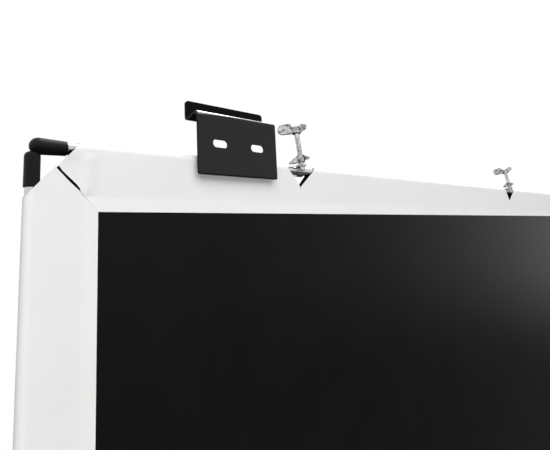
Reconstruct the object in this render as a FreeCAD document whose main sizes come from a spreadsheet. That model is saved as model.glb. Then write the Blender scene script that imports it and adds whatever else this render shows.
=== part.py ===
"""Tube-frame projection screen that hangs on a wall from two slotted brackets.

Millimetres. X runs across the screen, Y points at the wall, Z is up. The origin lies on the wall
plane, halfway between the brackets, at the height of their slots.
"""
import FreeCAD
import Part
import Sketcher
import math
import os
import re

doc = FreeCAD.newDocument("projection_screen")
sheet = doc.addObject("Spreadsheet::Sheet", "Sizes")

# Driving sizes: word, value, what it measures
DRIVING = (
    ("screen_width", 1594, "outer width over the corner elbows"),
    ("screen_height", 897, "outer height over the corner elbows"),
    ("tube_od", 8.5, "outside of the frame tube"),
    ("tube_wall", 0.8, "wall of the frame tube"),
    ("tube_below_slots", 15.7, "axis of the top tube below the bracket slots"),
    ("cloth_thick", 0.45, "coated cloth"),
    ("cloth_gap", 0.4, "tube to the cloth round it"),
    ("flap_depth", 44.2, "tube axis to the free edge of the folded flap"),
    ("weld_band", 11, "width of the welded strip of the flap"),
    ("weld_root", 2, "solid foot of the weld inside the pocket"),
    ("slit_width", 0.4, "gap between neighbouring flaps at the mitre"),
    ("cut_gap_across", 1.5, "corner cut clear of the level leg of the elbow"),
    ("cut_gap_down", 0.4, "corner cut clear of the upright leg of the elbow"),
    ("flap_fall", 0.65, "fall of the flap from the tube to where the elbow meets it"),
    ("notch_width", 42, "notch in the top fold, along the fold"),
    ("notch_depth", 22, "notch in the top fold, down from the fold"),
    ("notch_clear", 17.85, "bracket to the notch beside it"),
    ("elbow_od", 10.2, "outside of an elbow leg"),
    ("leg_across", 24, "level leg of the elbow with its domed end"),
    ("leg_down", 24.4, "upright leg of the elbow"),
    ("knee_swell", 0.8, "level leg thicker at the corner than at its mouth, on the radius"),
    ("dome_inset", 2.65, "domed end inside the outer face of the upright leg"),
    ("shoulder_drop", 4, "top of the upright leg below the level leg's axis"),
    ("shoulder_round", 3.6, "rounding of the upright leg's top"),
    ("mouth_chamfer", 0.4, "chamfer round the leg mouths"),
    ("seat_depth", 18, "depth of a tube seat in the elbow"),
    ("seat_gap", 0.05, "tube to its seat, on the radius"),
    ("seat_end_gap", 0.5, "tube end to the bottom of its seat"),
    ("bracket_inset", 173.1, "outer edge of the screen to the middle of a bracket"),
    ("plate_width", 88.6, "bracket along the wall"),
    ("plate_above", 29.4, "bracket plate above its slots"),
    ("plate_below", 28.2, "bracket plate below its slots"),
    ("plate_thick", 2, "steel sheet of the bracket"),
    ("plate_corner", 2, "rounding of the plate's lower corners"),
    ("ledge_depth", 21.3, "ledge and lip, out from the wall"),
    ("ledge_drop", 6, "fall of the ledge from the wall to the lip"),
    ("lip_rise", 11.4, "lip above the top of the plate"),
    ("lip_corner", 3, "rounding of the lip's upper corners"),
    ("bend_outer", 4, "outer radius of the bends"),
    ("slot_length", 16, "bracket slot, end to end"),
    ("slot_width", 7.1, "bracket slot, side to side"),
    ("slot_spacing", 42.1, "middle of one slot to the middle of the other"),
    ("hook_thick", 2.5, "steel strip of the tube hook"),
    ("hook_gap", 0.8, "tube hook to the cloth"),
    ("hook_inset", 10, "tube hook inside the plate, at each end"),
    ("hook_tail", 12, "welded tail of the tube hook below the tube axis"),
    ("hook_front", 4, "front leg of the tube hook below the tube axis"),
    ("rod_od", 5, "stem of the hanging bolt"),
    ("rod_gap", 0.05, "clip of the bolt to the bare tube"),
    ("rod_lean", 8, "lean of the stem away from the wall, degrees"),
    ("rod_show", 0.5, "end of the stem past its upper wing nut"),
    ("rod_foot", 1, "foot of the stem below the tube axis"),
    ("rod_chamfer", 0.6, "chamfer on the end of the stem"),
    ("clip_thick", 1.5, "spring strip of the clip"),
    ("clip_width", 9, "clip along the tube"),
    ("clip_back", 20, "end of the clip above the back of the tube, degrees"),
    ("clip_front", 20, "end of the clip above the front of the tube, degrees"),
    ("saddle_length", 6.8, "saddle along the tube"),
    ("saddle_rise", 1, "saddle above the tube"),
    ("saddle_front", 5.2, "saddle in front of the tube axis"),
    ("saddle_back", 3.4, "saddle behind the stem's axis"),
    ("saddle_foot", 3, "foot of the saddle above the tube axis"),
    ("saddle_hole_gap", 0.1, "stem to the hole in the saddle, on the radius"),
    ("nut_gap", 1.8, "saddle to the wings of the lower wing nut"),
    ("nut_height", 7, "hub of a wing nut"),
    ("hub_foot", 9, "hub diameter at the nut's flat face"),
    ("hub_head", 7.6, "hub diameter at its other end"),
    ("thread_gap", 0.05, "stem to nut, on the radius"),
    ("wing_thick", 2.4, "wing of a wing nut"),
    ("wing_foot", 0.4, "wing's near edge from the nut's flat face"),
    ("wing_neck", 1.2, "hub to the end of the wing's far edge"),
    ("upper_long", 19.5, "stem's axis to the tip of the upper nut's long wing"),
    ("upper_long_rise", 0.3, "its near edge, from hub to tip"),
    ("upper_long_head", 11.5, "its far edge from the nut's flat face"),
    ("upper_short", 11.5, "stem's axis to the tip of the upper nut's short wing"),
    ("upper_short_rise", 3, "its near edge, from hub to tip"),
    ("upper_short_head", 9.5, "its far edge from the nut's flat face"),
    ("lower_long", 12.5, "stem's axis to the tip of the lower nut's long wing"),
    ("lower_long_rise", 4.6, "its near edge, from hub to tip"),
    ("lower_long_head", 7.5, "its far edge from the nut's flat face"),
    ("lower_short", 9.5, "stem's axis to the tip of the lower nut's short wing"),
    ("lower_short_rise", 1, "its near edge, from hub to tip"),
    ("lower_short_head", 4, "its far edge from the nut's flat face"),
    ("upper_nut_1", 39.5, "flat face of the first upper wing nut above the tube axis"),
    ("upper_nut_2", 33, "flat face of the second upper wing nut above the tube axis"),
    ("upper_nut_3", 36, "flat face of the third upper wing nut above the tube axis"),
    ("lower_turn_1", 325, "first lower nut's long wing from the tube's direction, degrees"),
    ("lower_turn_2", 335, "second lower nut's long wing from the tube's direction, degrees"),
    ("lower_turn_3", 310, "third lower nut's long wing from the tube's direction, degrees"),
    ("upper_turn_1", 319, "first upper nut's long wing from the tube's direction, degrees"),
    ("upper_turn_2", 291, "second upper nut's long wing from the tube's direction, degrees"),
    ("upper_turn_3", 305, "third upper nut's long wing from the tube's direction, degrees"),
)

# Sizes worked out from those above: word, formula, what it measures
DERIVED = (
    ("tube_r", "tube_od / 2", "radius of the tube"),
    ("leg_r", "elbow_od / 2", "radius of an elbow leg"),
    ("knee_r", "leg_r + knee_swell", "radius of the level leg at the corner"),
    ("pocket_r", "tube_r + cloth_gap", "inside of the fold"),
    ("fold_r", "pocket_r + cloth_thick", "outside of the fold"),
    ("weld_drop", "flap_depth - weld_band", "tube axis to the weld line"),
    ("root_drop", "weld_drop - weld_root", "tube axis to the foot of the pocket"),
    ("wall_in_y", "pocket_r * sqrt(1 - (pocket_r / root_drop)^2)", "where the inner wall leaves the tube"),
    ("wall_in_z", "-(pocket_r^2) / root_drop", "height of that place"),
    ("wall_out_y", "fold_r * sqrt(1 - (fold_r / weld_drop)^2)", "where the outer wall leaves the tube"),
    ("wall_out_z", "-(fold_r^2) / weld_drop", "height of that place"),
    ("hook_in", "fold_r + hook_gap", "inside of the tube hook"),
    ("hook_out", "hook_in + hook_thick", "outside of the tube hook"),
    ("tube_y", "-plate_thick - hook_out", "plane of the tube axes"),
    ("top_z", "-tube_below_slots", "axis of the top tube"),
    ("corner_x", "screen_width / 2 - leg_r", "axis of a side tube"),
    ("corner_z", "screen_height / 2 - knee_r", "half the distance between the level tubes"),
    ("middle_z", "top_z - corner_z", "middle of the screen"),
    ("bracket_x", "screen_width / 2 - bracket_inset", "middle of a bracket"),
    ("bolt_x", "bracket_x - (plate_width + notch_width) / 2 - notch_clear", "outer hanging bolts"),
    ("dome_tip", "leg_r - dome_inset", "tip of the dome past the corner"),
    ("across_end", "leg_across - dome_tip", "mouth of the level leg from the corner"),
    ("down_end", "leg_down + shoulder_drop", "mouth of the upright leg from the corner"),
    ("across_stop", "across_end - seat_depth", "bottom of the level seat from the corner"),
    ("down_stop", "down_end - seat_depth", "bottom of the upright seat from the corner"),
    ("meet", "sqrt(leg_r^2 - (pocket_r - flap_fall)^2)", "side of the elbow where a flap meets it"),
    ("cut_a", "across_end + cut_gap_across", "corner cut beside the level leg"),
    ("cut_b", "down_end + cut_gap_down", "corner cut beside the upright leg"),
    ("cut_slope", "(cut_b - meet) / (cut_a - meet)", "steepness of the corner cut"),
    ("cut_top", "meet + cut_slope * cut_a", "corner cut carried to the corner's upright"),
    ("slit", "slit_width / sqrt(2)", "half the mitre gap, along a tube, twice over"),
    ("seam_out", "flap_depth + weld_root", "end of the mitre, past the flap's edge"),
    ("stem_y", "tube_r + rod_gap + rod_od / 2", "stem beside the tube axis"),
    ("clip_in", "tube_r + rod_gap", "inside of the clip"),
    ("clip_out", "clip_in + clip_thick", "outside of the clip"),
    ("saddle_top", "tube_r + saddle_rise", "flat of the saddle above the tube axis"),
    ("lower_nut", "saddle_top + nut_gap + lower_long_head", "flat face of a lower wing nut above the tube axis"),
    ("ledge_fall", "ledge_drop / (ledge_depth - plate_thick)", "steepness of the ledge"),
)


def fill_sheet():
    """Write every size into the sheet: what it is, then its value under its word."""
    for row, (word, value, meaning) in enumerate(DRIVING + DERIVED, start=1):
        sheet.set(f"A{row}", meaning)
        sheet.set(f"B{row}", str(value) if isinstance(value, (int, float)) else "=" + value)
        sheet.setAlias(f"B{row}", word)
    doc.recompute()


fill_sheet()
WORDS = {word for word, value, meaning in DRIVING + DERIVED}


def bound(text):
    """Expression with the sheet's name before each size word."""
    return re.sub(r"[a-z_]\w*", lambda found: "Sizes." + found.group() if found.group() in WORDS
                  else found.group(), str(text))


def size(text):
    """Value of an expression of size words."""
    result = sheet.evalExpression(bound(text))
    return float(getattr(result, "Value", result))


def bind(thing, **formulas):
    """Tie properties of an object to formulas; a double underscore stands for a dot."""
    for name, formula in formulas.items():
        thing.setExpression(name.replace("__", "."), bound(formula))


def place(thing, x="0", y="0", z="0", turn=None):
    """Put an object at a point given by formulas, turned by a rotation."""
    thing.Placement = FreeCAD.Placement(FreeCAD.Vector(), turn or FreeCAD.Rotation())
    bind(thing, Placement__Base__x=x, Placement__Base__y=y, Placement__Base__z=z)


def new_body(label):
    body = doc.addObject("PartDesign::Body", label)
    body.Label = label
    return body


def plane(body, role):
    return next(item for item in body.Origin.OriginFeatures if item.Role == role)


def new_sketch(body, name, role):
    """Empty sketch on one of the body's own origin planes."""
    made = body.newObject("Sketcher::SketchObject", name)
    made.AttachmentSupport = (plane(body, role), [""])
    made.MapMode = "FlatFace"
    return made


def fix_point(made, edge, end, across, up):
    """Hold a point of the sketch at two formulas from the sketch's origin."""
    for kind, formula in (("DistanceX", across), ("DistanceY", up)):
        index = made.addConstraint(Sketcher.Constraint(kind, -1, 1, edge, end, size(formula)))
        name = f"{kind}_{edge}_{end}"
        made.renameConstraint(index, name)
        made.setExpression("Constraints." + name, bound(formula))


def outline(made, corners):
    """Add a closed chain of edges. A corner is (across, up), or (across, up, radius) where the edge that
    leaves it is an arc of under half a turn: anticlockwise for a plain radius, clockwise where the
    radius formula starts with a minus sign."""
    points = [FreeCAD.Vector(size(corner[0]), size(corner[1]), 0) for corner in corners]
    count = len(corners)
    ends = []
    for index in range(count):
        start, finish = points[index], points[(index + 1) % len(points)]
        if len(corners[index]) == 2:
            edge = made.addGeometry(Part.LineSegment(start, finish), False)
            ends.append((edge, 1, 2))
            continue
        formula = corners[index][2]
        clockwise = formula.startswith("-")
        radius = size(formula.lstrip("-"))
        chord = finish - start
        side = FreeCAD.Vector(-chord.y, chord.x, 0).normalize() * (-1 if clockwise else 1)
        centre = (start + finish) / 2 + side * math.sqrt(max(radius ** 2 - chord.Length ** 2 / 4, 0))
        first, last = (finish, start) if clockwise else (start, finish)
        angles = [math.atan2(point.y - centre.y, point.x - centre.x) for point in (first, last)]
        circle = Part.Circle(centre, FreeCAD.Vector(0, 0, 1), radius)
        edge = made.addGeometry(Part.ArcOfCircle(circle, angles[0], angles[1]), False)
        ends.append((edge, 2, 1) if clockwise else (edge, 1, 2))
        arc = made.addConstraint(Sketcher.Constraint("Radius", edge, radius))
        made.renameConstraint(arc, f"Radius_{edge}")
        made.setExpression(f"Constraints.Radius_{edge}", bound(formula.lstrip("-")))
    for index, (edge, begin, end) in enumerate(ends):
        fix_point(made, edge, begin, corners[index][0], corners[index][1])
        onward = ends[(index + 1) % count]
        made.addConstraint(Sketcher.Constraint("Coincident", edge, end, onward[0], onward[1]))
    return made


def ring(made, across, up, radius):
    """Add a circle held by formulas."""
    centre = FreeCAD.Vector(size(across), size(up), 0)
    edge = made.addGeometry(Part.Circle(centre, FreeCAD.Vector(0, 0, 1), size(radius)), False)
    fix_point(made, edge, 3, across, up)
    index = made.addConstraint(Sketcher.Constraint("Radius", edge, size(radius)))
    made.renameConstraint(index, f"Radius_{edge}")
    made.setExpression(f"Constraints.Radius_{edge}", bound(radius))
    return made


def pad(body, made, length):
    """Extrude a sketch to both sides of its plane."""
    feature = body.newObject("PartDesign::Pad", made.Name + "_pad")
    feature.Profile = made
    feature.SideType = "Symmetric"
    bind(feature, Length=length)
    doc.recompute()
    return feature


def pocket(body, made):
    """Cut a sketch right through the body, to both sides of its plane."""
    before = body.Shape.Volume
    feature = body.newObject("PartDesign::Pocket", made.Name + "_pocket")
    feature.Profile = made
    feature.SideType = "Symmetric"
    feature.Type = "ThroughAll"
    doc.recompute()
    if body.Shape.Volume >= before:
        raise RuntimeError(feature.Label + " cuts nothing")
    return feature


def spin(body, made, axis, kind="Revolution"):
    """Turn a sketch a full turn about one of its own axes; a Groove takes material away."""
    feature = body.newObject("PartDesign::" + kind, made.Name + "_spin")
    feature.Profile = made
    feature.ReferenceAxis = (made, [axis])
    feature.Angle = 360
    doc.recompute()
    return feature


def dress(body, kind, formula, wanted):
    """Fillet or chamfer the edges of the body that the test picks by their middle point."""
    base = body.Tip
    names = [f"Edge{index}" for index, edge in enumerate(base.Shape.Edges, start=1)
             if wanted(edge, edge.CenterOfMass)]
    if not names:
        raise RuntimeError("no edge to dress on " + body.Label)
    feature = body.newObject("PartDesign::" + kind, f"{body.Label}_{kind}")
    feature.Base = (base, names)
    bind(feature, **{"Radius" if kind == "Fillet" else "Size": formula})
    doc.recompute()
    return feature


def near(value, formula):
    return abs(value - size(formula)) < 0.01


parts = []
FLAT = FreeCAD.Rotation()
ABOUT_X = FreeCAD.Vector(1, 0, 0)
ABOUT_Y = FreeCAD.Vector(0, 1, 0)
ABOUT_Z = FreeCAD.Vector(0, 0, 1)

# Frame tubes: plain round tube, cut to length and pushed into the elbows


def frame_tube(label, length, x, z, upright):
    """Hollow cylinder centred on a point, level along X or upright."""
    turn = FLAT if upright else FreeCAD.Rotation(ABOUT_Y, 90)
    walls = []
    for name, radius in (("outside", "tube_r"), ("inside", "tube_r - tube_wall")):
        round_bar = doc.addObject("Part::Cylinder", f"{label}_{name}")
        bind(round_bar, Radius=radius, Height=length)
        start_x = x if upright else f"{x} - ({length}) / 2"
        start_z = f"{z} - ({length}) / 2" if upright else z
        place(round_bar, start_x, "tube_y", start_z, turn)
        walls.append(round_bar)
    tube = doc.addObject("Part::Cut", label)
    tube.Label = label
    tube.Base, tube.Tool = walls
    parts.append(tube)


LEVEL_LENGTH = "2 * (corner_x - across_stop - seat_end_gap)"
UPRIGHT_LENGTH = "2 * (corner_z - down_stop - seat_end_gap)"
frame_tube("top_tube", LEVEL_LENGTH, "0", "top_z", False)
frame_tube("bottom_tube", LEVEL_LENGTH, "0", "top_z - 2 * corner_z", False)
frame_tube("right_tube", UPRIGHT_LENGTH, "corner_x", "middle_z", True)
frame_tube("left_tube", UPRIGHT_LENGTH, "-corner_x", "middle_z", True)

# Corner elbows: a level leg, swollen at its domed end, lies on top of an upright leg with a round shoulder


def corner_elbow(label, x, z, turn):
    """Elbow with its corner at the origin and its legs towards -X and -Z, then turned into place."""
    body = new_body(label)
    spin(body, outline(new_sketch(body, label + "_level", "XZ_Plane"), [
        ("dome_tip", "0", "knee_r"),
        ("dome_tip - knee_r", "knee_r"),
        ("-across_end", "leg_r"),
        ("-across_end", "0"),
    ]), "H_Axis")
    spin(body, outline(new_sketch(body, label + "_upright", "XZ_Plane"), [
        ("0", "-shoulder_drop"),
        ("0", "-down_end"),
        ("leg_r", "-down_end"),
        ("leg_r", "-shoulder_drop - shoulder_round", "shoulder_round"),
        ("leg_r - shoulder_round", "-shoulder_drop"),
    ]), "V_Axis")
    seat = "tube_r + seat_gap"
    spin(body, outline(new_sketch(body, label + "_level_seat", "XZ_Plane"), [
        ("-across_end", "0"),
        ("-across_stop", "0"),
        ("-across_stop", seat),
        ("-across_end", seat),
    ]), "H_Axis", "Groove")
    spin(body, outline(new_sketch(body, label + "_upright_seat", "XZ_Plane"), [
        ("0", "-down_end"),
        (seat, "-down_end"),
        (seat, "-down_stop"),
        ("0", "-down_stop"),
    ]), "V_Axis", "Groove")
    mouth = size("leg_r")
    dress(body, "Chamfer", "mouth_chamfer", lambda edge, middle: edge.Closed
          and abs(edge.Length - 2 * math.pi * mouth) < 0.01
          and (near(middle.x, "-across_end") or near(middle.z, "-down_end")))
    place(body, x, "tube_y", z, turn)
    parts.append(body)


corner_elbow("top_right_elbow", "corner_x", "top_z", FLAT)
corner_elbow("top_left_elbow", "-corner_x", "top_z", FreeCAD.Rotation(ABOUT_Z, 180))
corner_elbow("bottom_right_elbow", "corner_x", "top_z - 2 * corner_z", FreeCAD.Rotation(ABOUT_X, 180))
corner_elbow("bottom_left_elbow", "-corner_x", "top_z - 2 * corner_z", FreeCAD.Rotation(ABOUT_Y, 180))

# Screen cloth: a flat panel, and at each edge a flap folded back round the tube and welded down


def screen_panel():
    """Flat stretch of the cloth between the four weld lines."""
    panel = doc.addObject("Part::Box", "screen_panel")
    panel.Label = "screen_panel"
    wide = "2 * (corner_x - weld_drop)"
    tall = "2 * (corner_z - weld_drop)"
    bind(panel, Length=wide, Width="cloth_thick", Height=tall)
    place(panel, f"-({wide}) / 2", "tube_y - cloth_thick", f"middle_z - ({tall}) / 2")
    parts.append(panel)


def pocket_section(body, label):
    """Section of a folded edge: round the tube, down both sides to the weld, then the welded band."""
    made = new_sketch(body, label + "_section", "YZ_Plane")
    outline(made, [
        ("-cloth_thick", "-weld_drop"),
        ("0", "-weld_drop"),
        ("0", "-flap_depth"),
        ("cloth_thick", "-flap_depth"),
        ("cloth_thick", "-weld_drop"),
        ("wall_out_y", "wall_out_z", "fold_r"),
        ("0", "fold_r", "fold_r"),
        ("-wall_out_y", "wall_out_z"),
    ])
    outline(made, [
        ("0", "-root_drop"),
        ("wall_in_y", "wall_in_z", "pocket_r"),
        ("0", "pocket_r", "pocket_r"),
        ("-wall_in_y", "wall_in_z"),
    ])
    return made


def end_cut(body, label, half, along, end):
    """Outline of what is cut away at one end: past the corner cut, then past the mitre.
    along gives the cut's distance from the corner at a depth below the tube axis."""
    brow = "fold_r + weld_root"
    mitre_depth = along["mitre"]
    sign = "" if end > 0 else "-"
    reach = f"({half}) + {brow}"
    return outline(new_sketch(body, f"{label}_end_{'plus' if end > 0 else 'minus'}", "XZ_Plane"), [
        (f"{sign}(({half}) - ({along['brow']}))", brow),
        (f"{sign}(({half}) - ({mitre_depth}) - slit)", f"-({mitre_depth})"),
        (f"{sign}(({half}) - seam_out - slit)", "-seam_out"),
        (f"{sign}({reach})", "-seam_out"),
        (f"{sign}({reach})", brow),
    ])


LEVEL_CUT = {"brow": "(cut_top + fold_r + weld_root) / cut_slope",
             "mitre": "(cut_top - cut_slope * slit) / (1 + cut_slope)"}
UPRIGHT_CUT = {"brow": "cut_top + cut_slope * (fold_r + weld_root)",
               "mitre": "(cut_top - slit) / (1 + cut_slope)"}


def cloth_pocket(label, half, along, x, z, turn, notches=()):
    """Folded edge along X with the tube axis through the origin, turned so that +Z faces outwards."""
    body = new_body(label)
    pad(body, pocket_section(body, label), f"2 * ({half})")
    for end in (1, -1):
        pocket(body, end_cut(body, label, half, along, end))
    for index, middle in enumerate(notches, start=1):
        mouth = "notch_width / 2 * (1 + weld_root / notch_depth)"
        pocket(body, outline(new_sketch(body, f"{label}_notch_{index}", "XZ_Plane"), [
            (f"{middle} - {mouth}", "fold_r + weld_root"),
            (middle, "fold_r - notch_depth"),
            (f"{middle} + {mouth}", "fold_r + weld_root"),
        ]))
    place(body, x, "tube_y", z, turn)
    parts.append(body)


BOLT_PLACES = ("bolt_x", "0", "-bolt_x")
screen_panel()
cloth_pocket("top_pocket", "corner_x", LEVEL_CUT, "0", "top_z", FLAT, BOLT_PLACES)
cloth_pocket("bottom_pocket", "corner_x", LEVEL_CUT, "0", "top_z - 2 * corner_z",
             FreeCAD.Rotation(ABOUT_Y, 180))
cloth_pocket("right_pocket", "corner_z", UPRIGHT_CUT, "corner_x", "middle_z",
             FreeCAD.Rotation(ABOUT_Y, 90))
cloth_pocket("left_pocket", "corner_z", UPRIGHT_CUT, "-corner_x", "middle_z",
             FreeCAD.Rotation(ABOUT_Y, -90))

# Wall brackets: one bent steel sheet with a slotted plate, a ledge and an upturned lip


def wall_bracket(label, x):
    """Bracket padded from its section, with bent corners rounded and two slots cut."""
    body = new_body(label)
    lip_back = "plate_thick - ledge_depth"
    pad(body, outline(new_sketch(body, label + "_section", "YZ_Plane"), [
        ("0", "-plate_below"),
        ("0", "plate_above"),
        (lip_back, "plate_above - ledge_drop"),
        (lip_back, "plate_above + lip_rise"),
        ("-ledge_depth", "plate_above + lip_rise"),
        ("-ledge_depth", "plate_above - ledge_depth * ledge_fall - plate_thick"),
        ("-plate_thick", "plate_above - plate_thick * ledge_fall - plate_thick"),
        ("-plate_thick", "-plate_below"),
    ]), "plate_width")

    def along_x(edge):
        return near(edge.Length, "plate_width")

    dress(body, "Fillet", "bend_outer", lambda edge, middle: along_x(edge) and (
        (near(middle.y, "0") and near(middle.z, "plate_above"))
        or (near(middle.y, "-ledge_depth") and middle.z < size("plate_above"))))
    dress(body, "Fillet", "bend_outer / 2", lambda edge, middle: along_x(edge) and (
        (near(middle.y, lip_back) and middle.z < size("plate_above"))
        or (near(middle.y, "-plate_thick") and middle.z > 0)))
    dress(body, "Fillet", "lip_corner", lambda edge, middle: near(edge.Length, "plate_thick")
          and near(middle.z, "plate_above + lip_rise"))
    dress(body, "Fillet", "plate_corner", lambda edge, middle: near(edge.Length, "plate_thick")
          and near(middle.z, "-plate_below"))
    straight = "(slot_length - slot_width) / 2"
    for name, middle in (("near", "-slot_spacing / 2"), ("far", "slot_spacing / 2")):
        pocket(body, outline(new_sketch(body, f"{label}_slot_{name}", "XZ_Plane"), [
            (f"{middle} - {straight}", "-slot_width / 2"),
            (f"{middle} + {straight}", "-slot_width / 2", "slot_width / 2"),
            (f"{middle} + slot_length / 2", "0", "slot_width / 2"),
            (f"{middle} + {straight}", "slot_width / 2"),
            (f"{middle} - {straight}", "slot_width / 2", "slot_width / 2"),
            (f"{middle} - slot_length / 2", "0", "slot_width / 2"),
        ]))
    place(body, x)
    parts.append(body)


def tube_hook(label, x):
    """Strip welded to the front of a bracket's plate and bent over the covered top tube."""
    body = new_body(label)
    pad(body, outline(new_sketch(body, label + "_section", "YZ_Plane"), [
        ("hook_out", "-hook_tail"),
        ("hook_out", "0", "hook_out"),
        ("0", "hook_out", "hook_out"),
        ("-hook_out", "0"),
        ("-hook_out", "-hook_front"),
        ("-hook_in", "-hook_front"),
        ("-hook_in", "0", "-hook_in"),
        ("0", "hook_in", "-hook_in"),
        ("hook_in", "0"),
        ("hook_in", "-hook_tail"),
    ]), "plate_width - 2 * hook_inset")
    place(body, x, "tube_y", "top_z")
    parts.append(body)


for side, x in (("right", "bracket_x"), ("left", "-bracket_x")):
    wall_bracket(side + "_wall_bracket", x)
    tube_hook(side + "_tube_hook", x)

# Hanging bolts: a stem on a clip round the bare tube in each notch, a saddle, and two wing nuts whose
# flat faces look at each other


def leaning(turn=0, tilt=0):
    """Rotation of a bolt's pieces: a tilt about X, a turn about the stem, then the lean of the stem."""
    lean = FreeCAD.Rotation(ABOUT_X, size("rod_lean"))
    return lean.multiply(FreeCAD.Rotation(ABOUT_Z, turn)).multiply(FreeCAD.Rotation(ABOUT_X, tilt))


def hanging_bolt(label, x, top):
    """Strip bent round the back, the underside and the front of the tube, with a stem on its back."""
    body = new_body(label)
    pad(body, outline(new_sketch(body, label + "_clip", "YZ_Plane"), [
        ("clip_out * cos(clip_back)", "clip_out * sin(clip_back)", "-clip_out"),
        ("0", "-clip_out", "-clip_out"),
        ("-clip_out * cos(clip_front)", "clip_out * sin(clip_front)"),
        ("-clip_in * cos(clip_front)", "clip_in * sin(clip_front)", "clip_in"),
        ("0", "-clip_in", "clip_in"),
        ("clip_in * cos(clip_back)", "clip_in * sin(clip_back)"),
    ]), "clip_width")
    section = ring(new_sketch(body, label + "_stem", "XY_Plane"), "0", "stem_y", "rod_od / 2")
    bind(section, AttachmentOffset__Base__z=f"({top} - rod_foot) / 2")
    pad(body, section, f"{top} + rod_foot")
    dress(body, "Chamfer", "rod_chamfer", lambda edge, middle: edge.Closed and near(middle.z, top))
    place(body, x, "tube_y", "top_z", leaning())
    parts.append(body)


def bolt_saddle(label, x):
    """Small block hollowed to sit on the tube, with a hole for the stem."""
    body = new_body(label)
    hollow = "sqrt(clip_in^2 - saddle_foot^2)"
    pad(body, outline(new_sketch(body, label + "_section", "YZ_Plane"), [
        ("-saddle_front", "saddle_foot"),
        (f"-({hollow})", "saddle_foot", "-clip_in"),
        (hollow, "saddle_foot"),
        ("stem_y + saddle_back", "saddle_foot"),
        ("stem_y + saddle_back", "saddle_top"),
        ("-saddle_front", "saddle_top"),
    ]), "saddle_length")
    pocket(body, ring(new_sketch(body, label + "_hole", "XY_Plane"), "0", "stem_y",
                      "rod_od / 2 + saddle_hole_gap"))
    place(body, x, "tube_y", "top_z", leaning())
    parts.append(body)


def wing_outline(wing):
    """Corners of a wing towards +X: out along its near edge, round the tip, back and down to the hub."""
    rise, head = wing + "_rise", wing + "_head"
    tip = f"({head} - wing_foot - {rise}) / 2"
    return [
        ("0", "wing_foot"),
        ("hub_foot / 2", "wing_foot"),
        (f"{wing} - {tip}", f"wing_foot + {rise}", tip),
        (wing, f"wing_foot + {rise} + {tip}", tip),
        (f"{wing} - {tip}", head),
        ("hub_head / 2 + wing_neck", head),
        ("hub_head / 2", "nut_height"),
        ("0", "nut_height"),
    ]


def mirrored(corners):
    """Corners of an outline turned over to -X, where each arc runs the other way."""
    return [(f"-({corner[0]})", corner[1]) + tuple("-" + radius for radius in corner[2:])
            for corner in corners]


def wing_nut(label, x, face, turn, wings, tilt):
    """Turned hub with a long and a short wing, bored for the stem, its flat face at a height on it."""
    body = new_body(label)
    long_wing, short_wing = wings
    for wing, corners in ((long_wing, wing_outline(long_wing)),
                          (short_wing, mirrored(wing_outline(short_wing)))):
        pad(body, outline(new_sketch(body, f"{label}_{wing}", "XZ_Plane"), corners), "wing_thick")
    spin(body, outline(new_sketch(body, label + "_hub", "XZ_Plane"), [
        ("0", "0"),
        ("hub_foot / 2", "0"),
        ("hub_head / 2", "nut_height"),
        ("0", "nut_height"),
    ]), "V_Axis")
    pocket(body, ring(new_sketch(body, label + "_bore", "XY_Plane"), "0", "0", "rod_od / 2 + thread_gap"))
    place(body, x, f"tube_y + stem_y * cos(rod_lean) - ({face}) * sin(rod_lean)",
          f"top_z + stem_y * sin(rod_lean) + ({face}) * cos(rod_lean)", leaning(size(turn), tilt))
    parts.append(body)


for number, x in enumerate(BOLT_PLACES, start=1):
    hanging_bolt(f"hanging_bolt_{number}", x, f"upper_nut_{number} + nut_height + rod_show")
    bolt_saddle(f"bolt_saddle_{number}", x)
    wing_nut(f"lower_wing_nut_{number}", x, "lower_nut", f"lower_turn_{number}",
             ("lower_long", "lower_short"), 180)
    wing_nut(f"upper_wing_nut_{number}", x, f"upper_nut_{number}", f"upper_turn_{number}",
             ("upper_long", "upper_short"), 0)

doc.recompute()
for thing in doc.Objects:
    if {"Invalid", "Error"} & set(thing.State):
        raise RuntimeError(thing.Label + " failed: " + str(thing.State))
for part in parts:
    if part.Shape.isNull() or not part.Shape.isValid() or part.Shape.Volume <= 0:
        raise RuntimeError(part.Label + " has no valid shape")

os.makedirs("parts", exist_ok=True)
for part in parts:
    part.Shape.exportStep(f"parts/{part.Label}.step")
    print(part.Label, len(part.Shape.Solids), round(part.Shape.Volume, 1))
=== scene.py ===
import math

import bpy
import numpy as np
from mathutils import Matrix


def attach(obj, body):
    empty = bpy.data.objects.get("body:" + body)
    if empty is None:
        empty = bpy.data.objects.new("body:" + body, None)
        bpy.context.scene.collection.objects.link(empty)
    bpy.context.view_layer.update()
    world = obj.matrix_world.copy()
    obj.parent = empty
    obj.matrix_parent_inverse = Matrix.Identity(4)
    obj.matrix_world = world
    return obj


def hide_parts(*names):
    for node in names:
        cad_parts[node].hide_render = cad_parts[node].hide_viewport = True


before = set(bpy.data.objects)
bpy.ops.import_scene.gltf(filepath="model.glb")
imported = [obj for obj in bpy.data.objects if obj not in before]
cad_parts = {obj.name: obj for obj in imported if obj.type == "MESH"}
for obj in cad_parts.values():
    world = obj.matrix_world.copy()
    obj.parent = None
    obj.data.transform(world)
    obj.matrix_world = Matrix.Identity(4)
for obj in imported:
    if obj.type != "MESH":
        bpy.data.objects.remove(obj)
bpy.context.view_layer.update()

# Frame tubes: four lengths of thin steel tube, drawn, polished and bright nickel plated,
# cut square and pushed into the corner elbows. They show only in the notches and at the corners.

LINE_GAP = 0.0006
LINE_LENGTH = 0.05


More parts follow.
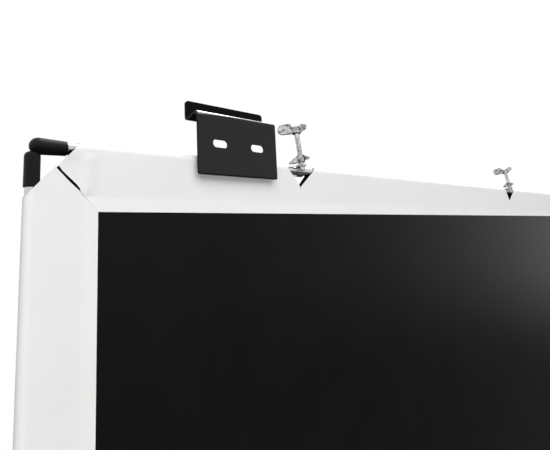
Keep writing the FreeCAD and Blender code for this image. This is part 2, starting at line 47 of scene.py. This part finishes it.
def linear(colour):
    """sRGB hex to linear RGBA: the sRGB curve undone on each channel."""
    srgb = np.array([int(colour[place:place + 2], 16) for place in (1, 3, 5)]) / 255
    return (*np.where(srgb <= 0.04045, srgb / 12.92, ((srgb + 0.055) / 1.055) ** 2.4), 1.0)


def add(tree, kind, settings, inputs):
    """Add a node: settings are its properties, and inputs are values or sockets by name or number."""
    made = tree.nodes.new("ShaderNode" + kind)
    for name, value in settings.items():
        setattr(made, name, value)
    for name, value in inputs.items():
        if isinstance(value, bpy.types.NodeSocket):
            tree.links.new(value, made.inputs[name])
        else:
            made.inputs[name].default_value = value
    return made


def new_finish(name, inputs):
    """New material whose Principled shader takes the given constants; returns it, its tree and shader."""
    finish = bpy.data.materials.new(name)
    finish.use_nodes = True
    shader = finish.node_tree.nodes["Principled BSDF"]
    for socket, value in inputs.items():
        shader.inputs[socket].default_value = value
    return finish, finish.node_tree, shader


def wire(tree, shader, tint, gloss, relief):
    """Link a finish's colour, roughness and bumped normal to its shader."""
    tree.links.new(tint, shader.inputs["Base Color"])
    tree.links.new(gloss, shader.inputs["Roughness"])
    tree.links.new(relief, shader.inputs["Normal"])


def dress(finish, *names):
    """Give CAD nodes one finish over their whole surface."""
    for name in names:
        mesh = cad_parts[name].data
        mesh.materials.clear()
        mesh.materials.append(finish)


def nickel_plated_tube(name, along):
    """Polished nickel: lines drawn along the tube, 0.2 mm apart in life and here 0.6 mm so that they
    show, vary the gloss and the grey a little. The tube's axis is number along of x, y and z."""
    finish, tree, shader = new_finish(name, {"Metallic": 1.0})
    place = add(tree, "TexCoord", {}, {}).outputs["Object"]
    stretched = [1 / LINE_GAP] * 3
    stretched[along] = 1 / LINE_LENGTH
    lines = add(tree, "Mapping", {}, {"Vector": place, "Scale": stretched}).outputs[0]
    drawn = add(tree, "TexNoise", {}, {"Vector": lines, "Scale": 1.0, "Detail": 3.0}).outputs["Fac"]
    gloss = add(tree, "MapRange", {}, {"Value": drawn, "To Min": 0.12, "To Max": 0.26}).outputs[0]
    tint = add(tree, "Mix", {"data_type": "RGBA"},
               {"Factor": drawn, "A": linear("#BDBDBD"), "B": linear("#D8D8D8")}).outputs["Result"]
    relief = add(tree, "Bump", {}, {"Height": drawn, "Strength": 0.15, "Distance": 0.00002}).outputs[0]
    wire(tree, shader, tint, gloss, relief)
    return finish


dress(nickel_plated_tube("nickel_plated_level_tube", 0), "top_tube", "bottom_tube")
dress(nickel_plated_tube("nickel_plated_upright_tube", 2), "right_tube", "left_tube")

# Corner elbows: one piece of black ABS each, moulded with a fine spark-eroded texture that leaves
# the surface satin. The tubes are a push fit in both legs.

MOULD_GRAIN = 0.0005
GLOSS_PATCH = 0.012


def moulded_abs():
    """Black ABS: the mould's grain is about 0.2 mm, drawn at 0.5 mm so that it shows; it breaks the
    highlight into a soft streak. Patches of about 12 mm vary the gloss."""
    finish, tree, shader = new_finish("moulded_black_abs", {"IOR": 1.5, "Specular IOR Level": 0.22})
    place = add(tree, "TexCoord", {}, {}).outputs["Object"]
    grain = add(tree, "TexNoise", {},
                {"Vector": place, "Scale": 1 / MOULD_GRAIN, "Detail": 2.0}).outputs["Fac"]
    cloud = add(tree, "TexNoise", {},
                {"Vector": place, "Scale": 1 / GLOSS_PATCH, "Detail": 3.0}).outputs["Fac"]
    gloss = add(tree, "MapRange", {}, {"Value": cloud, "To Min": 0.44, "To Max": 0.56}).outputs[0]
    tint = add(tree, "Mix", {"data_type": "RGBA"},
               {"Factor": cloud, "A": linear("#060606"), "B": linear("#0C0C0C")}).outputs["Result"]
    relief = add(tree, "Bump", {}, {"Height": grain, "Strength": 0.25, "Distance": 0.00004}).outputs[0]
    wire(tree, shader, tint, gloss, relief)
    return finish


dress(moulded_abs(), "top_right_elbow", "top_left_elbow", "bottom_right_elbow", "bottom_left_elbow")

# Screen cloth: one sheet of matt white PVC-coated polyester with a black backing. Its corners are cut
# off aslant, its edges are folded back round the tubes and the flaps are welded down behind, meeting
# in mitres. Three notches bare the top tube for the hanging bolts.

# Lengths in millimetres: the tube axes, the cloth's thickness, the radius of its fold, and the depths
# of the weld line and the free edge below the tube axis.
TUBE_Y = -10.4
TOP_Z = -15.7
HALF_WIDE = 791.9
HALF_TALL = 442.6
CLOTH = 0.45
LIFT = CLOTH / 2
FOLD = 4.875
WELD = 33.2
FLAP = 44.2

# Notches: their middles, half widths at the fold behind and in front, and depth.
BOLTS = (-540.75, 0.0, 540.75)
NOTCH_REAR = 22.6
NOTCH_FRONT = 23.6
NOTCH_DEEP = 22

# Where a mitre starts in front, and how much further the slanting cut reaches there than behind.
MITRE_START = 14.8
FRONT_REACH = 1.3

# Slack of the rear wall: height of the ripples, and the parabola's peak, which scales it to one.
RIPPLE = 0.16
SLACK_PEAK = 260

# Bells over the elbows' mouths: height, distance from the corner and its spread, depth and its spread.
# Ridge: height, distance from the corner and its spread, and the parabola at which it is full.
LEVEL_BELL = (1.7, 24, 10, 2.5, 5.5)
UPRIGHT_BELL = (0.55, 27.4, math.sqrt(14), 1.8, math.sqrt(14))
RIDGE = (1.7, 36, 4, 120)


def folded_edge():
    """Middle line of the cloth across one edge, as three arrays: depth, inwards from the tube axis; back,
    behind the panel's plane; and whether the row lies behind the tube. From the weld line a straight wall
    leaves the panel and touches a circle round the tube; the arc goes over the tube and a second wall
    comes down to the weld line, where the flap's band lies flat on the panel's back as far as its free
    edge."""
    tangent = math.acos(FOLD / WELD) + LIFT / WELD
    touch = FOLD * math.cos(tangent)
    rise = FOLD * math.sin(tangent)
    front = np.array([WELD, 30, 27, 24, 21, 19, 17, MITRE_START, 11, 8, 5, 2.5])
    turn = np.linspace(-tangent, tangent - 2 * math.pi, 29)
    rear = np.array([2, 4, 6, 8, 10, 11.5, 12.8, 14, 16.1, 19.2, 22.4, 25.2, 26.4, 27.8, 30, 32, WELD])
    band = np.array([34.2, 36, 38.5, 41, 43, FLAP])
    depth = np.concatenate([front, FOLD * np.cos(turn), rear, band])
    back = np.concatenate([
        np.interp(front, [touch, WELD], [-rise, -LIFT]),
        FOLD * np.sin(turn),
        np.interp(rear, [touch, WELD], [rise, LIFT]),
        np.full(band.size, LIFT),
    ])
    crest = front.size + turn.size // 2
    return depth, back, np.arange(depth.size) > crest


def corner_cut(depth, behind, level):
    """Distance from the corner at which each row of an edge ends: on the slanting cut beside the tube,
    then on the mitre. In front the mitre is the diagonal; behind, the two flaps leave a slit that is
    widest half way and closes at the weld."""
    if level:
        beside, ahead = [-4.9, -3.83, 5.87], [29.8, 28.95, 21.15]
        slit = [12.8, 16.1, 19.2, 22.4, 25.2, 27.8, 30, WELD, FLAP]
        gap = [3.0, 2.4, 2.7, 3.2, 3.55, 3.0, 1.5, 1.3, 0.1]
    else:
        beside, ahead = [-4.9, -0.95, 4.03], [36.1, 30.15, 24.4]
        slit = [14, 16.1, 19.2, 22.4, 26.4, 32, WELD, FLAP]
        gap = [-0.25, -0.1, -0.3, -0.3, -0.75, -1.55, -1.2, 0.0]
    diagonal = [MITRE_START, FLAP]
    in_front = np.interp(depth, beside + diagonal, ahead[:2] + [ahead[2] + FRONT_REACH] + diagonal)
    at_back = np.interp(depth, beside + slit, ahead + list(np.add(slit, gap)))
    return np.where(behind, at_back, in_front)


def folded_strip(half, level, notches):
    """Grid of one folded edge along a tube of half length half: rows follow folded_edge(), columns run
    between the ends that corner_cut() gives, closer together towards the ends. A notch is a V from the
    fold down to a point, so its two sides part the columns into blocks, and below the point the sides
    meet again. The rear wall's slack is a parabola from the tube to the weld, and carries ripples, the
    sum of three sine waves 232, 383 and 119 mm long. Near a corner the cloth is pushed out in a small
    bell over the elbow's mouth and, on the level edges, in a ridge down the wall."""
    depth, back, behind = folded_edge()
    end = half - corner_cut(depth, behind, level)
    taper = np.clip(1 - (depth + FOLD + LIFT) / NOTCH_DEEP, 0, None)
    wide = notches * np.where(behind, NOTCH_REAR, NOTCH_FRONT) * taper
    middles = BOLTS if level else ()
    starts = [-end] + [middle + wide for middle in middles]
    stops = [middle - wide for middle in middles] + [end]
    columns = 49 if level else 61
    share = (1 - np.cos(np.linspace(0, math.pi, columns))) / 2
    along = np.stack([start[:, None] + (stop - start)[:, None] * share
                      for start, stop in zip(starts, stops)])
    depth, back = (np.broadcast_to(line[:, None], along.shape) for line in (depth, back))
    rear_only = np.where(behind, 1, 0)[:, None]
    slack = np.clip((depth - 1) * (WELD - depth), 0, None) / SLACK_PEAK * rear_only
    ripple = np.sin(along / 37) + 0.7 * np.sin(along / 61 + 1.3) + 0.5 * np.sin(along / 19 + depth / 9)
    from_end = half - np.abs(along)
    high, place, spread, deep, deep_spread = LEVEL_BELL if level else UPRIGHT_BELL
    bell = high * np.exp(-((from_end - place) / spread) ** 2 - ((depth - deep) / deep_spread) ** 2)
    high, place, spread, full = RIDGE
    fade = np.clip((depth - 2) * (WELD - depth) / full, 0, 1)
    ridge = level * high * np.exp(-((from_end - place) / spread) ** 2) * fade
    return along, depth, back + RIPPLE * ripple * slack + (bell + ridge) * rear_only


def grid_faces(blocks, rows, columns, flip):
    """Corner numbers of the quads of several grids that are stored one after another."""
    number = np.arange(blocks * rows * columns).reshape(blocks, rows, columns)
    quads = np.stack([number[:, :-1, :-1], number[:, :-1, 1:], number[:, 1:, 1:], number[:, 1:, :-1]], -1)
    return quads.reshape(-1, 4)[:, ::-1] if flip else quads.reshape(-1, 4)


points, quads, flat = [], [], []


def keep(x, y, z, u, v, flip):
    """Add a set of grids to the sheet: places in millimetres, and flat places u, v for the weave."""
    start = sum(len(block) for block in points)
    quads.append(grid_faces(*x.shape, flip) + start)
    points.append(np.stack([x, y, z], -1).reshape(-1, 3) / 1000)
    flat.append(np.stack([u, v], -1).reshape(-1, 2) / 1000)


# An edge's v is the run along its middle line. The panel's v is shifted below the welded bands' runs,
# which begin at the weld line, six rows before the free edge.
PANEL_SHIFT = -100
middle_z = TOP_Z - HALF_TALL
depth_line, back_line = folded_edge()[:2]
run_line = np.concatenate([[0], np.cumsum(np.hypot(np.diff(depth_line), np.diff(back_line)))])
weld_run = run_line[-7] / 1000
for side in ("top", "bottom", "right", "left"):
    level = side in ("top", "bottom")
    along, depth, back = folded_strip(HALF_WIDE if level else HALF_TALL, level, side == "top")
    outwards = 1 if side in ("top", "right") else -1
    if level:
        x, z = along, middle_z + outwards * (HALF_TALL - depth)
        panel_x = along[:, 0].reshape(-1)
    else:
        x, z = outwards * (HALF_WIDE - depth), middle_z + along
        panel_z = middle_z + along[0, 0]
    run = np.broadcast_to(run_line[:, None], along.shape)
    keep(x, TUBE_Y + back, z, along, run, side in ("bottom", "right"))
x, z = np.meshgrid(panel_x, panel_z)
keep(x[None], np.full(x.shape, TUBE_Y - LIFT)[None], z[None], x[None], z[None] + PANEL_SHIFT, False)

sheet_mesh = bpy.data.meshes.new("screen_cloth")
sheet_mesh.from_pydata(np.concatenate(points), [], np.concatenate(quads).tolist())
corners = np.empty(len(sheet_mesh.loops), dtype=np.int32)
sheet_mesh.loops.foreach_get("vertex_index", corners)
sheet_mesh.uv_layers.new(name="flat_cloth").data.foreach_set("uv", np.concatenate(flat)[corners].ravel())
sheet_mesh.polygons.foreach_set("use_smooth", np.ones(len(sheet_mesh.polygons), dtype=bool))

THREAD = 0.0009
TONE_PATCH = 0.06
PRESSED = 0.3


def coated_cloth(name, dark, light, gloss, tooth, inputs):
    """PVC-coated polyester: the coat lies over a plain weave of 0.5 mm threads, drawn at 0.9 mm so that
    it shows as a faint tooth, the product of two sine waves. Soft clouds of about 60 mm vary the tone
    and the gloss. Welded bands are pressed smoother."""
    finish, tree, shader = new_finish(name, inputs)
    place = add(tree, "UVMap", {"uv_map": "flat_cloth"}, {}).outputs[0]
    thread = add(tree, "VectorMath", {"operation": "SCALE"}, {0: place, "Scale": 2 * math.pi / THREAD})
    parts = add(tree, "SeparateXYZ", {}, {0: thread.outputs[0]})
    warp = add(tree, "Math", {"operation": "SINE"}, {0: parts.outputs[0]}).outputs[0]
    weft = add(tree, "Math", {"operation": "SINE"}, {0: parts.outputs[1]}).outputs[0]
    weave = add(tree, "Math", {"operation": "MULTIPLY"}, {0: warp, 1: weft}).outputs[0]
    run = add(tree, "SeparateXYZ", {}, {0: place}).outputs[1]
    welded = add(tree, "Math", {"operation": "GREATER_THAN"}, {0: run, 1: weld_run}).outputs[0]
    calm = add(tree, "MapRange", {},
               {"Value": welded, "To Min": tooth, "To Max": tooth * PRESSED}).outputs[0]
    height = add(tree, "Math", {"operation": "MULTIPLY"}, {0: weave, 1: calm}).outputs[0]
    cloud = add(tree, "TexNoise", {},
                {"Vector": place, "Scale": 1 / TONE_PATCH, "Detail": 3.0}).outputs["Fac"]
    tint = add(tree, "Mix", {"data_type": "RGBA"},
               {"Factor": cloud, "A": linear(dark), "B": linear(light)}).outputs["Result"]
    shine = add(tree, "MapRange", {},
                {"Value": cloud, "To Min": gloss - 0.05, "To Max": gloss + 0.05}).outputs[0]
    relief = add(tree, "Bump", {}, {"Height": height, "Strength": 0.3, "Distance": 0.00003}).outputs[0]
    wire(tree, shader, tint, shine, relief)
    return finish


sheet_mesh.materials.append(coated_cloth("matt_white_pvc_cloth", "#ECECEB", "#F4F4F3", 0.62, 1.0,
                                         {"IOR": 1.45, "Specular IOR Level": 0.35}))
sheet_mesh.materials.append(coated_cloth("black_cloth_backing", "#121212", "#181818", 0.25, 1.0,
                                         {"IOR": 1.45, "Specular IOR Level": 0.048}))
sheet_mesh.materials.append(coated_cloth("cut_cloth_edge", "#A6A6A5", "#BABAB9", 0.8, 0.5, {"IOR": 1.45}))
screen = bpy.data.objects.new("screen_cloth", sheet_mesh)
bpy.context.scene.collection.objects.link(screen)
weld = screen.modifiers.new("joined", "WELD")
weld.merge_threshold = 0.00001
shell = screen.modifiers.new("cloth_thickness", "SOLIDIFY")
shell.thickness = CLOTH / 1000
shell.offset = 0.0
shell.use_even_offset = True
shell.material_offset = 1
shell.material_offset_rim = 2
solid = bpy.data.meshes.new_from_object(screen.evaluated_get(bpy.context.evaluated_depsgraph_get()))
screen.modifiers.clear()
screen.data = solid
solid.set_sharp_from_angle(angle=math.radians(40))
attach(screen, "frame")
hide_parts("screen_panel", "top_pocket", "bottom_pocket", "right_pocket", "left_pocket")

# Wall brackets: one bent strip of 2 mm steel each, with a slotted plate, a ledge and an upturned lip,
# powder coated satin black. A strip welded to the plate's front hooks over the covered top tube.

PEEL = 0.0008
RUB_PATCH = 0.03

# Places in metres, from where a mask of painted shade is nought to where it is full: forwards of the wall
# face, up the bend, down to the lower edge, and out to the plate's end.
WALL_FACE = (-0.0006, -0.0016)
UPPER_BEND = (0.025, 0.029)
LOWER_EDGE = (-0.0266, -0.0274)
OUTER_END = (0.6679, 0.6681)

# Painted highlight, a pale metallic streak along the upper bend, in metres: its reach along the plate, its
# lower edge at the narrow and the wide end, the softness of that edge, and where it stops in front of the
# bend.
HIGHLIGHT_REACH = (0.60, 0.6682)
HIGHLIGHT_EDGE = (0.0268, 0.0235)
HIGHLIGHT_SOFT = 0.0012
HIGHLIGHT_FRONT = (-0.006, -0.005)


def powder_coat():
    """Black powder coat: it cures to a fine orange peel, about 0.8 mm from dimple to dimple, and a
    satin gloss with slightly duller patches, where the plate is also a little greyer. Painted shade: on
    the ledge, the lip, every face forward of the wall face, the upper bend and strips along the lower
    edge and the outer end it is painted near black, and it is glossier there. Painted highlight: along
    the upper bend a pale metallic streak widens, with the square of the distance, towards the screen's
    end."""
    finish, tree, shader = new_finish("satin_black_powder_coat", {"IOR": 1.45, "Specular IOR Level": 0.08})
    place = add(tree, "TexCoord", {}, {}).outputs["Object"]
    peel = add(tree, "TexNoise", {}, {"Vector": place, "Scale": 1 / PEEL, "Detail": 1.0}).outputs["Fac"]
    cloud = add(tree, "TexNoise", {},
                {"Vector": place, "Scale": 1 / RUB_PATCH, "Detail": 3.0}).outputs["Fac"]
    dull = add(tree, "MapRange", {}, {"Value": cloud, "To Min": 0.26, "To Max": 0.36}).outputs[0]
    grey = add(tree, "Mix", {"data_type": "RGBA"},
               {"Factor": cloud, "A": linear("#262627"), "B": linear("#2D2D2E")}).outputs["Result"]

    sideways, backwards, upwards = add(tree, "SeparateXYZ", {}, {0: place}).outputs
    aside = add(tree, "Math", {"operation": "ABSOLUTE"}, {0: sideways}).outputs[0]
    # Painted shade: this mask paints the ledge, the lip, the upper bend and strips along the lower edge
    # and the outer end near black.
    folded = add(tree, "MapRange", {}, {"Value": backwards, "From Min": WALL_FACE[0],
                                       "From Max": WALL_FACE[1]}).outputs[0]
    for value, (nought, full) in ((upwards, UPPER_BEND), (upwards, LOWER_EDGE), (aside, OUTER_END)):
        mask = add(tree, "MapRange", {}, {"Value": value, "From Min": nought, "From Max": full}).outputs[0]
        folded = add(tree, "Math", {"operation": "MAXIMUM"}, {0: folded, 1: mask}).outputs[0]
    end = mask
    gloss = add(tree, "Mix", {}, {"Factor": folded, "A": dull, "B": 0.18}).outputs["Result"]
    # Colour: the plate's grey, painted near black where the mask of painted shade is full.
    coat = add(tree, "Mix", {"data_type": "RGBA"},
               {"Factor": folded, "A": grey, "B": linear("#030303")}).outputs["Result"]

    # Painted highlight: a pale metallic streak along the upper bend, kept off the outer end face.
    reach = add(tree, "MapRange", {}, {"Value": aside, "From Min": HIGHLIGHT_REACH[0],
                                      "From Max": HIGHLIGHT_REACH[1]}).outputs[0]
    spread = add(tree, "Math", {"operation": "POWER"}, {0: reach, 1: 2.0}).outputs[0]
    edge = add(tree, "MapRange", {}, {"Value": spread, "To Min": HIGHLIGHT_EDGE[0],
                                     "To Max": HIGHLIGHT_EDGE[1]}).outputs[0]
    over = add(tree, "Math", {"operation": "SUBTRACT"}, {0: upwards, 1: edge}).outputs[0]
    highlight_band = add(tree, "MapRange", {}, {"Value": over, "From Max": HIGHLIGHT_SOFT}).outputs[0]
    rear = add(tree, "MapRange", {}, {"Value": backwards, "From Min": HIGHLIGHT_FRONT[0],
                                     "From Max": HIGHLIGHT_FRONT[1]}).outputs[0]
    highlight_behind = add(tree, "Math", {"operation": "MULTIPLY"}, {0: highlight_band, 1: rear}).outputs[0]
    painted_highlight = add(tree, "Math", {"operation": "SUBTRACT", "use_clamp": True}, {0: highlight_behind, 1: end}).outputs[0]
    tint = add(tree, "Mix", {"data_type": "RGBA"},
               {"Factor": painted_highlight, "A": coat, "B": linear("#A8A8A8")}).outputs["Result"]
    relief = add(tree, "Bump", {}, {"Height": peel, "Strength": 0.1, "Distance": 0.00005}).outputs[0]
    tree.links.new(painted_highlight, shader.inputs["Metallic"])
    wire(tree, shader, tint, gloss, relief)
    return finish


dress(powder_coat(), "right_wall_bracket", "left_wall_bracket", "right_tube_hook", "left_tube_hook")

# Hanging bolts: a 5 mm stem on a spring clip round the bare tube in each notch, a saddle on the tube
# and two cast wing nuts. All are zinc plated, bright where the plating is smooth, and grey elsewhere.

BLOOM = 0.004


def zinc_plate(name, dull, bright, rough):
    """Zinc plate: a crystalline bloom of about 4 mm patches between dull grey and bright, which also
    clouds the gloss and stands for the slight unevenness of the casting."""
    finish, tree, shader = new_finish(name, {"Metallic": 1.0, "Specular Tint": linear("#404040")})
    place = add(tree, "TexCoord", {}, {}).outputs["Object"]
    bloom = add(tree, "TexNoise", {}, {"Vector": place, "Scale": 1 / BLOOM, "Detail": 4.0}).outputs["Fac"]
    sharp = add(tree, "MapRange", {}, {"Value": bloom, "From Min": 0.35, "From Max": 0.65}).outputs[0]
    tint = add(tree, "Mix", {"data_type": "RGBA"},
               {"Factor": sharp, "A": linear(dull), "B": linear(bright)}).outputs["Result"]
    gloss = add(tree, "MapRange", {}, {"Value": bloom, "To Min": rough + 0.12, "To Max": rough}).outputs[0]
    relief = add(tree, "Bump", {}, {"Height": bloom, "Strength": 0.2, "Distance": 0.0002}).outputs[0]
    wire(tree, shader, tint, gloss, relief)
    return finish


ROD = zinc_plate("zinc_plated_rod", "#A0A0A0", "#DADADA", 0.12)
CAST = zinc_plate("zinc_plated_casting", "#545454", "#D6D6D6", 0.24)
for number in (1, 2, 3):
    dress(ROD, f"hanging_bolt_{number}")
    dress(CAST, f"bolt_saddle_{number}", f"lower_wing_nut_{number}", f"upper_wing_nut_{number}")

# Studio: a pale floor well below the hung screen, and soft boxes overhead, behind the camera and in
# front. The surround is white, but gloss sees its lower half dark, in place of the floor. The camera
# looks up at the top corner from behind.

FLOOR_X = (-40, 6)
FLOOR_Y = (-1.2, 40)
FLOOR_Z = -1.25
floor_mesh = bpy.data.meshes.new("floor")
floor_mesh.from_pydata([(FLOOR_X[0], FLOOR_Y[0], FLOOR_Z), (FLOOR_X[1], FLOOR_Y[0], FLOOR_Z),
                        (FLOOR_X[1], FLOOR_Y[1], FLOOR_Z), (FLOOR_X[0], FLOOR_Y[1], FLOOR_Z)],
                       [], [(0, 1, 2, 3)])
floor = bpy.data.objects.new("floor", floor_mesh)
bpy.context.scene.collection.objects.link(floor)
pale = new_finish("pale_floor", {"Base Color": linear("#F2F2F2"), "Roughness": 0.7})[0]
floor_mesh.materials.append(pale)
floor.visible_glossy = False

# Strengths of the surround as seen, as a light and below the horizon, and the horizon's soft edge.
SEEN = 1.0
FILL = 0.22
BELOW = 0.12
HORIZON = (-0.2, -0.07)
world = bpy.data.worlds.new("white_surround")
bpy.context.scene.world = world
world.use_nodes = True
sky_tree = world.node_tree
ray = add(sky_tree, "LightPath", {}, {}).outputs
seen = ray["Is Camera Ray"]
for kind in ("Is Glossy Ray", "Is Transmission Ray"):
    seen = add(sky_tree, "Math", {"operation": "MAXIMUM"}, {0: seen, 1: ray[kind]}).outputs[0]
plain = add(sky_tree, "MapRange", {}, {"Value": seen, "To Min": FILL, "To Max": SEEN}).outputs[0]
way = add(sky_tree, "TexCoord", {}, {}).outputs["Generated"]
height = add(sky_tree, "SeparateXYZ", {}, {0: way}).outputs[2]
sky = add(sky_tree, "MapRange", {}, {"Value": height, "From Min": HORIZON[0], "From Max": HORIZON[1],
                                    "To Min": BELOW, "To Max": 1.0}).outputs[0]
dimmed = add(sky_tree, "Mix", {}, {"Factor": ray["Is Glossy Ray"], "A": 1.0, "B": sky}).outputs["Result"]
glow = add(sky_tree, "Math", {"operation": "MULTIPLY"}, {0: plain, 1: dimmed}).outputs[0]
surround = sky_tree.nodes["Background"]
surround.inputs["Color"].default_value = linear("#FFFFFF")
sky_tree.links.new(glow, surround.inputs["Strength"])


def soft_box(name, place, aim, wide, tall, watts, mirrored):
    """Rectangular area lamp at a place, turned so that it shines at aim; gloss shows it if mirrored."""
    lamp = bpy.data.lights.new(name, "AREA")
    lamp.shape = "RECTANGLE"
    lamp.size = wide
    lamp.size_y = tall
    lamp.energy = watts
    holder = bpy.data.objects.new(name, lamp)
    bpy.context.scene.collection.objects.link(holder)
    holder.location = place
    away = holder.location - type(holder.location)(aim)
    holder.rotation_euler = away.to_track_quat("Z", "Y").to_euler()
    holder.visible_camera = False
    holder.visible_glossy = mirrored


soft_box("overhead_box", (-0.1, -0.3, 1.35), (0.4, 0.0, 0.0), 0.5, 1.2, 21, True)
soft_box("rear_box", (1.1, 1.85, 1.4), (0.3, 0.0, -0.1), 3.4, 2.0, 64, False)
soft_box("front_box", (-0.5, -2.8, 0.7), (0.0, 0.0, -0.5), 3.0, 2.0, 46, False)

camera_data = bpy.data.cameras.new("camera")
camera_data.sensor_fit = "HORIZONTAL"
camera_data.sensor_width = 36.0
camera_data.lens = 28.858
camera_data.shift_x = 0.01636
camera_data.shift_y = -0.09182
camera_data.clip_start = 0.02
camera = bpy.data.objects.new("camera", camera_data)
bpy.context.scene.collection.objects.link(camera)
camera.location = (0.86453, 0.31035, -0.08646)
camera.rotation_euler = [math.radians(turn) for turn in (98.635, 2.583, 139.32)]
bpy.context.scene.camera = camera
bpy.context.scene.view_settings.view_transform = "Standard"
